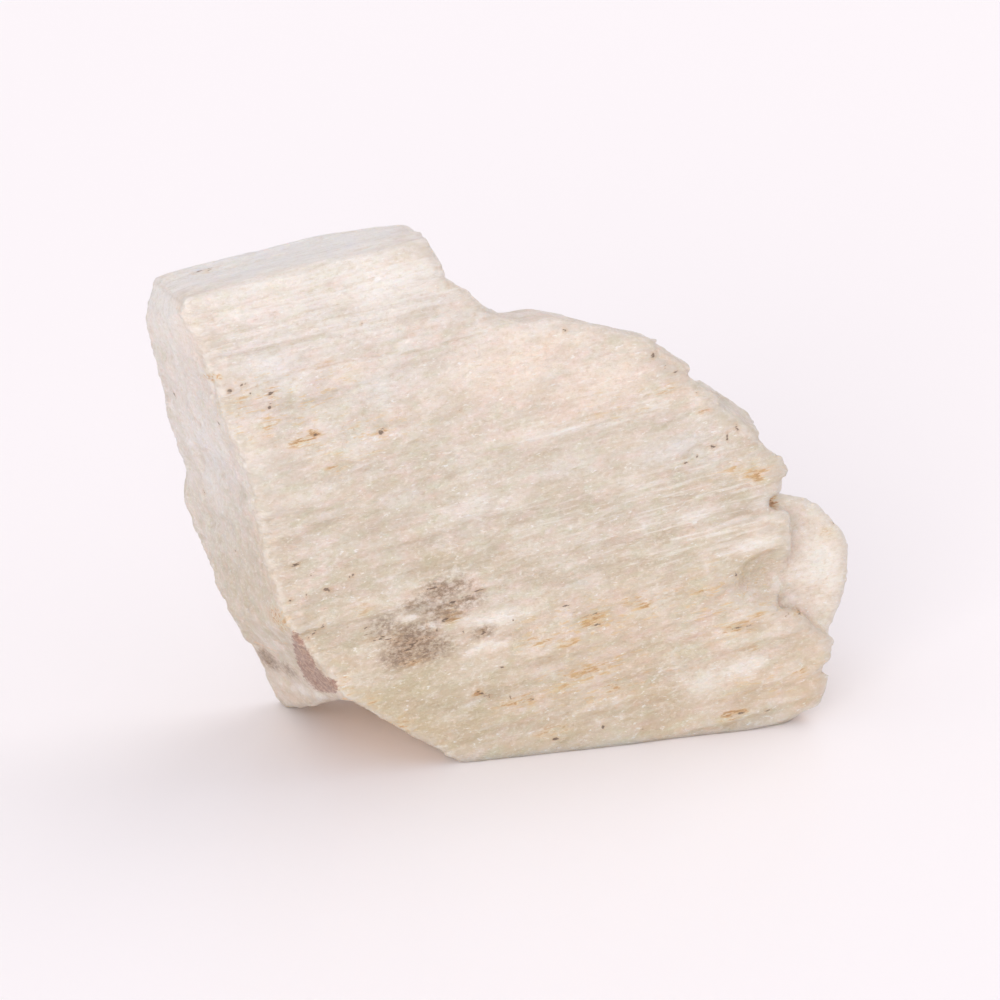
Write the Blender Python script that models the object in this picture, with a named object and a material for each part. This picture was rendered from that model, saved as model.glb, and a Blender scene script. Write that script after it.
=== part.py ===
"""Rough hiddenite crystal, one solid.

The stone is a sheaf of parallel laths. Both ends are broken, the front is a
stepped cleavage face, and a hollow runs under the lower left corner.
The stone's own axes are u along the laths, v from the front face to the back,
and w up across the laths. They are turned into place at the end.
"""
import math
import random

import bmesh
import bpy
from mathutils import Matrix, Vector

MM = 0.001

# Attitude of the laths on the table, degrees
HEADING = 18.0
RISE = 8.0
LEAN = 10.0

# Height of the flat top ledge above the resting point, mm
TOP = 26.9

# Depth of the front face and of the back at a height, mm
FRONT_AT = [(-2.0, 0.45), (1.0, 0.05), (6.0, -0.15), (12.0, 0.2), (17.0, -0.1), (22.0, -0.05), (27.0, 0.1)]
BACK_AT = [(-2.0, 9.5), (3.0, 11.2), (9.0, 11.0), (15.0, 10.0), (20.0, 8.6), (24.0, 7.2), (27.0, 6.2)]

# Right-hand end of the front laths and of the back laths at a height, mm
FRONT_END = [
    (-1.9, 13.4), (-1.2, 15.2), (0.0, 15.7), (0.5, 15.3), (1.2, 16.4), (2.0, 16.3),
    (3.4, 15.4), (4.2, 14.1), (5.5, 14.8), (7.6, 15.5), (9.6, 15.2), (11.4, 15.9),
    (13.2, 14.9), (14.6, 14.1), (16.2, 12.5), (18.2, 11.0), (19.4, 9.6), (20.3, 8.0),
    (21.0, 5.2), (21.8, 3.4), (23.0, 2.2), (24.0, 1.2), (27.0, 0.8),
]
BACK_END = [
    (-1.5, 11.5), (0.5, 14.0), (2.0, 16.0), (4.0, 17.4), (7.0, 17.0), (8.6, 15.4), (10.5, 13.8),
    (13.0, 12.4), (16.0, 9.4), (19.0, 6.0), (20.4, 2.6), (22.6, 0.6), (27.0, 0.4),
]

# Lobe standing out beyond the right-hand end: outline in u and w, and back depth, mm
LOBE = [
    (13.0, 10.4), (15.5, 10.0), (17.0, 9.3), (18.0, 8.3), (18.6, 7.35), (18.8, 6.15),
    (18.45, 5.0), (17.9, 3.8), (16.5, 2.1), (13.5, 0.2),
]
LOBE_BACK = 8.6

# Plane of the lobe's front, set back a little more towards its top, mm
LOBE_POINT = (16.5, 0.75, 3.0)
LOBE_FACING = (0.06, -1.0, 0.10)

# Planes of the left-hand break, u = a + b * w + c * v, above and below a small step
BREAK_STEP = 16.5
UPPER_BREAKS = [(-8.46, -0.165, -0.156), (-26.0, 0.50, 0.0), (-16.24, -0.02, 0.50)]
LOWER_BREAKS = [(-10.45, -0.05, -0.17), (-10.98, -0.27, 0.23), (-5.85, -0.519, -0.21)]

# Plane that wears off the corner of the laths just under the step, in the same form
STEP_WEAR = (-19.1, 0.30, 0.21)

# Worn right-hand end of the top block, the slope below it, and the wear at the block's back corner, mm
SLOPE_LOW = 22.4
SLOPE_POINT = (1.88, 0.0, 23.33)
SLOPE_FACING = (0.69, 0.06, 0.72)
END_LOW = 24.6
END_POINT = (0.23, 0.0, 25.56)
END_FACING = (1.0, -0.12, 0.38)
BACK_POINT = (0.35, 6.0, 26.6)
BACK_FACING = (0.09, 0.12, 0.99)

# Raised flake on the front: ends and heights, mm
FLAKE_START = 0.6
FLAKE_LOW = 15.8
FLAKE_HIGH = 21.2

SPLINTERS = 40
BACK_LATHS = 16
SEED = 5

COLOUR = (0.68, 0.61, 0.52, 1.0)


def value_at(table, x):
    """Value of a broken line at x."""
    if x <= table[0][0]:
        return table[0][1]
    for (x0, y0), (x1, y1) in zip(table, table[1:]):
        if x <= x1:
            return y0 + (y1 - y0) * (x - x0) / (x1 - x0)
    return table[-1][1]


def cut(bm, point, normal):
    """Cut a closed body with a plane, drop the side the normal points to and close it."""
    geom = bm.verts[:] + bm.edges[:] + bm.faces[:]
    bmesh.ops.bisect_plane(
        bm, geom=geom, dist=1e-4, plane_co=point, plane_no=normal, clear_outer=True)
    rim = [edge for edge in bm.edges if edge.is_boundary]
    if rim:
        bmesh.ops.holes_fill(bm, edges=rim, sides=0)


def lath(u0, u1, v0, v1, w0, w1, rng, twist=3.0, splay=0.6, rough=0.1):
    """One long block of the sheaf, its corners a little out of true, in mm."""
    bm = bmesh.new()
    bmesh.ops.create_cube(bm, size=1.0)
    size = Vector((u1 - u0, v1 - v0, w1 - w0))
    for vert in bm.verts:
        vert.co = Vector([vert.co[i] * size[i] for i in range(3)])
        vert.co += Vector((0.0, rng.uniform(-rough, rough), rng.uniform(-rough, rough)))
    turn = Matrix.Rotation(math.radians(rng.uniform(-twist, twist)), 4, 'X')
    turn = Matrix.Rotation(math.radians(rng.uniform(-splay, splay)), 4, 'Y') @ turn
    turn = Matrix.Rotation(math.radians(rng.uniform(-splay, splay)), 4, 'Z') @ turn
    centre = Vector(((u0 + u1) / 2, (v0 + v1) / 2, (w0 + w1) / 2))
    bmesh.ops.transform(bm, matrix=Matrix.Translation(centre) @ turn, verts=bm.verts)
    bmesh.ops.triangulate(bm, faces=bm.faces)
    return bm


def end_normal(table, w, rng, spread):
    """Direction a lath's right-hand end faces, from the slope of the outline there."""
    slope = (value_at(table, w + 0.8) - value_at(table, w - 0.8)) / 1.6
    slope = max(-2.2, min(1.6, slope))
    facing = Vector((1.0, rng.uniform(-spread, spread), -slope + 0.6 * rng.uniform(-spread, spread)))
    return facing.normalized()


def break_left(bm, w, inset=0.0, rng=None):
    """Break off the left-hand end along the fracture planes, each a little out of true."""
    for a, b, c in UPPER_BREAKS if w > BREAK_STEP else LOWER_BREAKS:
        if rng:
            a += rng.uniform(-0.07, 0.07)
            b += rng.uniform(-0.004, 0.004)
            c += rng.uniform(-0.02, 0.02)
        cut(bm, Vector((a + inset, 0.0, 0.0)), Vector((-1.0, c, b)))
    if w <= BREAK_STEP:
        a, b, c = STEP_WEAR
        cut(bm, Vector((a + inset, 0.0, 0.0)), Vector((-1.0, c, b)))


def lobe(rng):
    """The block beyond the right-hand end, cut to its outline side by side."""
    bm = lath(9.0, 23.0, 0.0, LOBE_BACK, -1.0, 12.0, rng, twist=2.0, splay=1.0, rough=0.2)
    cut(bm, Vector(LOBE_POINT), Vector(LOBE_FACING))
    for (u0, w0), (u1, w1) in zip(LOBE, LOBE[1:]):
        facing = Vector((w0 - w1, 0.0, u1 - u0)).normalized()
        facing.y = rng.uniform(0.15, 0.4)
        cut(bm, Vector((u0, LOBE_POINT[1], w0)), facing)
    return bm


def sheaf():
    """All the laths as separate closed bodies, in mm."""
    rng = random.Random(SEED)
    bodies = [lobe(rng)]

    def ramp(side):
        """Facing of a thin lath's worn end, mostly a slope down to the face."""
        return Vector((side, -rng.uniform(0.9, 2.2), rng.uniform(-0.7, 0.7)))

    def add(v0, v1, w0, w1, table, start=None, end=None, reach=0.0, **how):
        mid = (w0 + w1) / 2
        worn_end = end is not None
        if not worn_end:
            end = value_at(table, mid) + reach
        bm = lath(-17.0 if start is None else start, end + 3.0, v0, v1, w0, w1, rng, **how)
        if worn_end:
            cut(bm, Vector((end, v0, mid)), ramp(1.0))
            end = max(end, value_at(table, mid) - 0.3)
        cut(bm, Vector((end, (v0 + v1) / 2, mid)), end_normal(table, mid, rng, 0.3))
        if start is not None:
            cut(bm, Vector((start + 0.8, v0, mid)), ramp(-1.0))
        break_left(bm, mid, rng=rng)
        if mid > SLOPE_LOW:
            tilt = Vector([rng.uniform(-0.03, 0.03) for _ in range(3)])
            point, facing = (END_POINT, END_FACING) if mid > END_LOW else (SLOPE_POINT, SLOPE_FACING)
            cut(bm, Vector(point), Vector(facing) + tilt)
            cut(bm, Vector(BACK_POINT), Vector(BACK_FACING))
        if bm.faces:
            bodies.append(bm)

    # Deep laths, three layers from front to back
    for layer, (near, far) in enumerate(((0.0, 0.38), (0.3, 0.72), (0.64, 1.0))):
        w = -2.6 + 0.5 * layer
        while w < TOP - 0.6:
            step = rng.uniform(1.2, 2.9) if w > 8.0 else rng.uniform(1.2, 2.0)
            top = min(w + step + 0.6, TOP - rng.uniform(0.0, 0.06))
            depth = value_at(BACK_AT, w + step / 2)
            table = FRONT_END if layer == 0 else BACK_END
            front = value_at(FRONT_AT, w + step / 2) + 0.08
            v0 = near * depth + (front if layer == 0 else rng.uniform(-0.3, 0.3))
            v1 = far * depth + (rng.uniform(-1.0, 0.2) if layer == 2 else 0.0)
            add(v0, v1, w, top, table, reach=rng.uniform(-0.6, 0.0), twist=2.0 + 2.0 * layer, rough=0.12)
            w += step
    # Thin laths on the front face
    w = -1.6
    while w < TOP - 0.5:
        step = rng.uniform(0.8, 1.9)
        v0 = value_at(FRONT_AT, w + step / 2) - rng.uniform(-0.02, 0.12)
        start = None if rng.random() < 0.5 else rng.uniform(-10.0, 6.0)
        add(v0, v0 + 1.5, w, min(w + step + 0.25, TOP - rng.uniform(0.0, 0.06)), FRONT_END, start=start,
            reach=rng.uniform(-0.7, 0.1), twist=3.0, splay=0.8, rough=0.05)
        w += step
    # Raised flake, in narrow overlapping strips
    w = FLAKE_LOW
    while w < FLAKE_HIGH:
        step = rng.uniform(0.8, 1.4)
        v0 = value_at(FRONT_AT, w) - rng.uniform(0.16, 0.26)
        add(v0, v0 + 1.5, w, w + step + 0.3, FRONT_END, start=FLAKE_START + rng.uniform(-1.5, 1.5),
            reach=-0.3, twist=2.0, splay=0.5, rough=0.05)
        w += step
    # Short splinters along the front, each diving into the face at one end
    for _ in range(SPLINTERS):
        w = rng.uniform(-0.5, TOP - 2.0)
        last = value_at(FRONT_END, w) - 0.5
        start = rng.uniform(-11.5, last - 3.0)
        end = min(start + rng.uniform(3.0, 9.0), last)
        tall = rng.uniform(0.3, 0.8)
        v0 = value_at(FRONT_AT, w) - rng.uniform(0.02, 0.10)
        add(v0, v0 + 1.1, w, w + tall, FRONT_END, start=start, end=end, twist=12.0, splay=2.4, rough=0.04)
    # Broken laths of uneven length on the back
    for _ in range(BACK_LATHS):
        w = rng.uniform(0.0, TOP - 3.0)
        depth = value_at(BACK_AT, w)
        last = value_at(BACK_END, w) - 0.5
        start = rng.uniform(-12.0, last - 5.0)
        end = min(start + rng.uniform(6.0, 16.0), last)
        v1 = depth + rng.uniform(-0.2, 0.45)
        bm = lath(start, end, v1 - 3.0, v1, w, w + rng.uniform(0.8, 2.6), rng, twist=7.0, splay=1.6, rough=0.2)
        for side, at in ((-1.0, start + 0.6), (1.0, end - 0.6)):
            cut(bm, Vector((at, v1 - 1.0, w)), Vector((side, rng.uniform(0.0, 1.2), rng.uniform(-0.7, 0.7))))
        break_left(bm, w, rng=rng)
        bodies.append(bm)
    return bodies


def as_object(name, bodies, collection):
    """One object holding all the given bodies. Its mesh is in mm and its scale makes it metres."""
    mesh = bpy.data.meshes.new(name)
    bm = bmesh.new()
    for body in bodies:
        part = bpy.data.meshes.new("part")
        body.to_mesh(part)
        bm.from_mesh(part)
        bpy.data.meshes.remove(part)
        body.free()
    bmesh.ops.recalc_face_normals(bm, faces=bm.faces)
    bm.to_mesh(mesh)
    bm.free()
    obj = bpy.data.objects.new(name, mesh)
    obj.scale = (MM, MM, MM)
    collection.objects.link(obj)
    return obj


def hide(obj):
    obj.hide_render = True
    obj.display_type = 'WIRE'


def boolean(obj, other, operation):
    mod = obj.modifiers.new(operation.title(), 'BOOLEAN')
    mod.solver = 'EXACT'
    mod.operation = operation
    mod.object = other
    mod.use_self = True
    hide(other)


def attitude():
    """Rotation that turns the stone's axes u, v, w to their place on the table."""
    head, rise, lean = (math.radians(a) for a in (HEADING, RISE, LEAN))
    along = Vector((math.cos(head) * math.cos(rise), math.sin(head) * math.cos(rise), math.sin(rise)))
    upright = Vector((0.0, math.sin(lean), math.cos(lean)))
    front = along.cross(upright).normalized()
    across = front.cross(along)
    return Matrix((along, -front, across)).transposed().to_4x4()


def plain_copy(obj, name, collection):
    """The object's evaluated mesh as a plain object."""
    bpy.context.view_layer.update()
    graph = bpy.context.evaluated_depsgraph_get()
    mesh = bpy.data.meshes.new_from_object(obj.evaluated_get(graph))
    out = bpy.data.objects.new(name, mesh)
    collection.objects.link(out)
    return out


def island_volume(faces):
    return abs(sum(f.calc_center_median().dot(f.normal) * f.calc_area() for f in faces) / 3.0)


def keep_outer_skin(bm):
    """Drop closed voids and loose flaps left by the laths, keeping the one outer skin."""
    left = set(bm.faces)
    islands = []
    while left:
        seed = left.pop()
        island = [seed]
        stack = [seed]
        while stack:
            face = stack.pop()
            for edge in face.edges:
                if len(edge.link_faces) != 2:
                    continue
                for other in edge.link_faces:
                    if other in left:
                        left.remove(other)
                        island.append(other)
                        stack.append(other)
        islands.append(island)
    islands.sort(key=island_volume, reverse=True)
    for island in islands[1:]:
        bmesh.ops.delete(bm, geom=island, context='FACES')
    loose = [vert for vert in bm.verts if not vert.link_faces]
    bmesh.ops.delete(bm, geom=loose, context='VERTS')
    wires = [edge for edge in bm.edges if not edge.link_faces]
    bmesh.ops.delete(bm, geom=wires, context='EDGES')


def main():
    for obj in list(bpy.data.objects):
        bpy.data.objects.remove(obj, do_unlink=True)
    stone = bpy.data.collections.new("rough_hiddenite")
    tools = bpy.data.collections.new("cutters")
    for collection in (stone, tools):
        bpy.context.scene.collection.children.link(collection)

    # Inner block that every lath overlaps
    core = lath(-15.0, 12.5, 1.2, 6.0, 0.6, TOP - 2.0, random.Random(3), twist=0.0, splay=0.0, rough=0.0)
    cut(core, Vector((0.0, 0.0, 22.6)), Vector((1.1, 0.0, 1.0)))
    cut(core, Vector(END_POINT) - 0.8 * Vector(END_FACING), Vector(END_FACING))
    break_left(core, TOP, inset=0.3)
    break_left(core, 0.0, inset=0.3)
    block = as_object("core", [core], tools)
    laths = as_object("laths", sheaf(), tools)
    boolean(block, laths, 'UNION')

    # Hollow under the lower left corner, and the table plane
    hollow = bmesh.new()
    bmesh.ops.create_cube(hollow, size=60.0)
    cut(hollow, Vector((-8.58, 0.0, 5.29)), Vector((-0.30, 0.22, 1.0)))
    cut(hollow, Vector((-8.58, 0.0, 5.29)), Vector((0.927, -0.10, 1.0)))
    boolean(block, as_object("hollow", [hollow], tools), 'DIFFERENCE')

    # Gap where a lath is missing from the underside, deeper to the right
    gap = lath(-4.0, 30.0, 3.1, 7.3, -9.0, 0.75, random.Random(5), twist=0.0, splay=0.0, rough=0.25)
    boolean(block, as_object("gap", [gap], tools), 'DIFFERENCE')

    # Nick in the right-hand edge near the table
    nick = lath(15.7, 20.0, -2.0, 3.4, 0.2, 0.95, random.Random(6), twist=6.0, splay=4.0, rough=0.15)
    boolean(block, as_object("nick", [nick], tools), 'DIFFERENCE')

    # Scoop chipped out of the right-hand edge
    scoop = bmesh.new()
    bmesh.ops.create_icosphere(scoop, subdivisions=2, radius=1.0)
    bmesh.ops.scale(scoop, vec=(3.2, 2.2, 2.0), verts=scoop.verts)
    bmesh.ops.rotate(scoop, matrix=Matrix.Rotation(0.5, 3, 'Z'), verts=scoop.verts)
    bmesh.ops.translate(scoop, vec=(13.6, -1.7, 6.0), verts=scoop.verts)
    boolean(block, as_object("scoop", [scoop], tools), 'DIFFERENCE')

    turn = attitude()
    table = bmesh.new()
    bmesh.ops.create_cube(table, size=60.0)
    bmesh.ops.translate(table, vec=(0.0, 0.0, -30.0), verts=table.verts)
    bmesh.ops.transform(table, matrix=turn.inverted(), verts=table.verts)
    boolean(block, as_object("table_plane", [table], tools), 'DIFFERENCE')

    body = plain_copy(block, "hiddenite_crystal", stone)
    hide(block)
    bm = bmesh.new()
    bm.from_mesh(body.data)
    bmesh.ops.triangulate(bm, faces=bm.faces, ngon_method='EAR_CLIP')
    bmesh.ops.remove_doubles(bm, verts=bm.verts, dist=0.004)
    keep_outer_skin(bm)
    bmesh.ops.transform(bm, matrix=turn, verts=bm.verts)
    low = [min(v.co[i] for v in bm.verts) for i in range(3)]
    high = [max(v.co[i] for v in bm.verts) for i in range(3)]
    shift = Vector((-(low[0] + high[0]) / 2, -(low[1] + high[1]) / 2, -low[2]))
    bmesh.ops.translate(bm, vec=shift, verts=bm.verts)
    bmesh.ops.scale(bm, vec=(MM, MM, MM), verts=bm.verts)
    bm.to_mesh(body.data)
    bm.free()

    material = bpy.data.materials.new("hiddenite")
    material.use_nodes = True
    shader = material.node_tree.nodes["Principled BSDF"]
    shader.inputs["Base Color"].default_value = COLOUR
    shader.inputs["Roughness"].default_value = 0.4
    shader.inputs["Metallic"].default_value = 0.0
    body.data.materials.clear()
    body.data.materials.append(material)


main()
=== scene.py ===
import math

import bmesh
import bpy
import numpy as np
from mathutils import Matrix, Vector


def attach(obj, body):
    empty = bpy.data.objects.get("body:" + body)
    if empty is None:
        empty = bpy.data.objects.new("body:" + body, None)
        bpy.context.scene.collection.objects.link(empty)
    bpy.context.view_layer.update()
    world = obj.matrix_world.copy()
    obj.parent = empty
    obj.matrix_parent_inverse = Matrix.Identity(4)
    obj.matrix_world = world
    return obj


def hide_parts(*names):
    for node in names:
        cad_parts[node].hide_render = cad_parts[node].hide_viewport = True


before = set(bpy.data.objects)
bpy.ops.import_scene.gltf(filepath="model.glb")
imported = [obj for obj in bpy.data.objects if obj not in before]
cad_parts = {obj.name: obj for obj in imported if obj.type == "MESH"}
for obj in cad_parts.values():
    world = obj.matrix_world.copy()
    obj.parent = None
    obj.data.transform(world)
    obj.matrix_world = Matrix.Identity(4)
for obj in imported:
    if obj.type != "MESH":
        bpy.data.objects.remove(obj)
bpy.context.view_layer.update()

bl_info = {
    "name": "Rough Hiddenite",
    "version": (1, 0, 0),
    "blender": (4, 5, 0),
    "location": "3D View > Sidebar > Hiddenite",
    "description": "Dresses a rough hiddenite crystal with its grain, stains and studio stage",
    "category": "Object",
}

MM = 0.001
NODE = "hiddenite_crystal"

# Attitude of the laths on the table in degrees, and the place of their common corner
HEADING = 18.0
RISE = 8.0
LEAN = 10.0
GRAIN_ORIGIN = Vector((1.47, -7.105, 0.0)) * MM

# Stains: u, v, w of the middle in mm, half length along the grain, half width across it, strength
RUST = [
    (-12.2, 0.1, 22.6, 0.6, 0.25, 0.8), (-11.1, -0.2, 21.2, 0.8, 0.2, 0.8), (-9.4, -0.2, 21.2, 0.35, 0.3, 1.0),
    (-9.8, -0.2, 19.6, 0.6, 0.5, 0.7), (-8.1, -0.3, 18.5, 0.8, 0.25, 1.3), (-7.6, -0.2, 18.8, 0.25, 0.3, 1.3),
    (-5.3, -0.2, 18.6, 0.5, 0.3, 0.5), (-7.0, -0.1, 16.8, 0.6, 0.35, 0.7), (-6.6, -0.1, 22.1, 0.6, 0.25, 0.5),
    (-4.3, -0.2, 18.0, 0.3, 0.2, 0.9), (10.2, -0.3, 16.7, 0.6, 0.35, 0.7), (12.0, 0.0, 15.1, 0.4, 0.25, 0.7),
    (8.6, -0.2, 15.8, 0.4, 0.4, 0.5), (13.2, 0.1, 11.7, 0.6, 0.5, 0.6), (14.2, 0.0, 11.2, 0.5, 0.4, 1.1),
    (15.1, 1.3, 9.6, 0.3, 0.9, 0.9), (4.4, -0.3, 6.1, 0.6, 0.35, 1.4), (6.6, -0.2, 6.6, 0.6, 0.25, 0.9),
    (7.2, -0.2, 6.3, 0.4, 0.25, 1.1), (8.9, -0.2, 6.6, 0.6, 0.2, 0.5), (10.4, -0.2, 6.3, 0.7, 0.2, 0.9),
    (13.3, -0.1, 7.2, 0.3, 0.3, 0.6), (11.9, -0.2, 3.9, 0.9, 0.25, 1.2), (12.8, -0.3, 4.3, 0.4, 0.25, 0.7),
    (13.5, -0.3, 4.3, 0.25, 0.2, 0.8), (15.1, 0.0, 3.8, 0.3, 0.3, 0.8), (17.6, 1.2, 7.2, 0.5, 0.35, 0.6),
    (1.6, -0.3, 5.8, 0.9, 0.3, 0.8), (3.0, -0.3, 5.3, 0.7, 0.25, 0.8), (3.8, -0.1, 3.6, 1.6, 0.5, 0.8),
    (2.5, -0.1, 3.0, 0.5, 0.4, 0.8), (4.8, 0.1, 2.4, 0.6, 0.5, 0.8), (0.0, -0.1, 3.0, 1.4, 0.3, 0.8),
    (1.4, 0.1, 1.0, 1.0, 0.3, 0.7), (10.7, 0.1, -0.5, 0.8, 0.25, 1.2), (14.6, 0.0, 0.8, 0.4, 0.3, 0.9),
    (12.1, 0.0, 2.6, 1.5, 0.25, 0.5), (-2.0, 0.0, 3.9, 0.3, 0.2, 1.1), (-7.1, -0.1, 9.5, 0.8, 0.6, 0.5),
    (-11.1, 0.8, 9.8, 0.5, 0.7, 1.0), (-2.6, 0.0, 8.1, 0.5, 0.35, 1.2), (-4.7, -0.1, 6.4, 1.2, 0.35, 0.8),
    (-8.6, -0.2, 5.9, 0.5, 0.9, 0.6), (-7.5, -0.2, 4.7, 0.6, 0.7, 0.6), (-6.2, 0.0, 3.2, 0.8, 0.6, 0.6),
    (-13.0, 1.4, 24.2, 0.3, 0.9, 0.4),
]
SMOKE = [
    (-4.9, -0.1, 7.4, 1.2, 0.7, 1.0), (-6.0, -0.1, 8.4, 0.8, 0.6, 0.6), (-5.6, -0.1, 6.8, 0.9, 0.6, 0.9),
    (-4.0, -0.1, 6.7, 1.1, 0.6, 0.8), (-2.9, -0.1, 9.5, 1.0, 0.5, 0.8), (-1.8, -0.1, 9.5, 0.7, 0.5, 0.6),
    (-1.5, 0.1, 8.6, 0.8, 0.4, 0.6), (-4.3, -0.1, 9.1, 0.9, 0.4, 0.6), (-1.2, -0.2, 6.9, 0.5, 0.3, 0.8),
    (-3.0, -0.1, 8.4, 1.2, 0.5, 0.7), (-10.6, 7.0, 6.5, 0.5, 0.7, 1.0), (-10.1, 5.1, 6.1, 0.4, 0.6, 0.7),
]
PEACH = [
    # The third row paints the thin right lobe paler: partly its pinkish tone, partly painted glow of light through it
    (3.6, 0.0, 19.6, 3.6, 1.6, 1.0), (6.8, 0.0, 17.9, 3.4, 1.6, 0.9), (17.0, 1.0, 5.5, 2.0, 3.5, 0.5),
    (-12.9, 1.3, 25.0, 0.6, 1.6, 0.8), (-4.7, -0.1, 21.5, 2.0, 0.5, 0.6), (-3.9, -0.1, 2.9, 0.6, 0.4, 1.0),
    (-9.8, 7.2, 4.4, 1.5, 1.6, 0.6),
]
BLUE = [
    (-5.0, 3.5, 26.8, 5.0, 2.5, 0.8), (-12.2, 3.8, 18.0, 1.2, 4.0, 0.9), (-0.2, 0.0, 13.0, 2.0, 0.7, 0.6),
    (10.2, 0.0, 13.7, 1.8, 0.6, 0.9), (4.3, 0.0, 13.9, 1.2, 0.5, 0.6), (-9.5, 0.0, 22.5, 2.4, 0.9, 0.6),
    (-4.0, 0.0, 20.2, 1.0, 0.6, 0.8),
]
OLIVE = [
    (-7.2, 0.2, 11.6, 0.7, 0.35, 1.0), (-2.8, 0.1, 10.8, 1.2, 0.4, 0.9), (-4.9, 0.1, 11.3, 0.9, 0.35, 0.7),
    (13.0, 0.2, 6.8, 1.6, 0.7, 1.0), (14.8, 0.0, 2.0, 0.8, 0.8, 0.8), (9.8, -0.1, 8.4, 1.6, 0.35, 0.9),
    (-5.5, 0.0, 4.0, 2.5, 2.0, 2.0), (-3.0, 0.0, 2.5, 2.5, 1.3, 1.2), (4.0, 0.0, 0.8, 6.0, 1.2, 0.6), (-1.0, 0.0, 4.4, 1.8, 0.7, 0.7),
    (-7.6, 0.0, 8.0, 2.5, 1.5, 0.7), (-11.5, 4.0, 11.5, 1.0, 3.0, 0.6),
]
CHALK = [
    (2.9, -0.2, 15.8, 0.8, 0.12, 1.0), (4.9, -0.2, 15.8, 1.1, 0.13, 1.2), (7.3, -0.1, 15.6, 1.2, 0.12, 1.0),
    (9.0, -0.1, 15.6, 0.6, 0.12, 0.8), (10.9, 0.1, 10.0, 0.9, 0.25, 1.1), (11.6, 0.0, 1.8, 1.1, 0.5, 1.0),
    (9.6, 0.0, 1.5, 0.9, 0.5, 0.8), (14.4, 0.6, 5.6, 0.35, 0.5, 0.9), (12.9, -0.1, 7.9, 1.9, 0.25, 0.9),
    (-1.1, -0.1, 6.2, 0.9, 0.25, 1.0), (-0.2, -0.2, 7.4, 1.6, 0.45, 0.8), (-4.7, 0.0, 8.5, 0.35, 0.15, 1.2),
    (-3.7, 0.0, 7.9, 0.5, 0.15, 1.2), (-9.6, 5.2, 4.9, 0.5, 0.35, 0.8), (-9.1, 3.4, 4.8, 0.5, 0.3, 0.9),
    (-8.9, 0.8, 5.6, 0.5, 0.2, 0.8), (-2.0, 0.0, 25.2, 2.5, 0.9, 1.2), (-8.5, 0.0, 25.5, 3.0, 0.5, 0.6),
    # The first row paints the thin right lobe paler: partly its own tone, partly painted glow of light through it
    (17.0, 1.0, 5.5, 2.0, 3.0, 0.7), (-7.0, 4.0, 26.9, 6.0, 2.5, 2.4),
]

# Where the silky striations are strongest
SILK = [
    (-6.0, 0.0, 24.6, 8.0, 1.8, 1.0), (10.5, 0.0, 10.0, 6.0, 3.2, 0.9), (3.0, 0.0, 11.5, 5.0, 2.0, 0.6),
    (7.0, 0.0, 16.5, 6.0, 2.5, 0.6), (-5.0, 4.0, 26.8, 6.0, 3.0, 0.8), (5.0, 12.0, 12.0, 14.0, 10.0, 0.8),
]

# Zones with a scatter of small amber freckles
FRECKLE = [
    (-9.0, 0.0, 20.5, 4.0, 1.8, 1.0), (-5.5, 0.0, 18.0, 4.0, 1.2, 0.8), (4.5, 0.0, 6.2, 5.0, 1.3, 1.0),
    (3.5, 0.0, 3.2, 4.0, 1.6, 1.0), (11.5, 0.0, 5.5, 3.5, 2.2, 0.9), (12.5, 0.0, 0.8, 3.0, 1.2, 0.8),
    (8.0, 0.0, 16.5, 3.0, 1.2, 0.7), (-12.5, 3.0, 20.0, 1.0, 5.0, 0.5), (13.5, 0.0, 11.5, 2.0, 1.0, 0.8),
]

STAINS = {"rust": RUST, "freckle": FRECKLE, "smoke": SMOKE, "peach": PEACH, "blue": BLUE, "olive": OLIVE, "chalk": CHALK, "silk": SILK}

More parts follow.
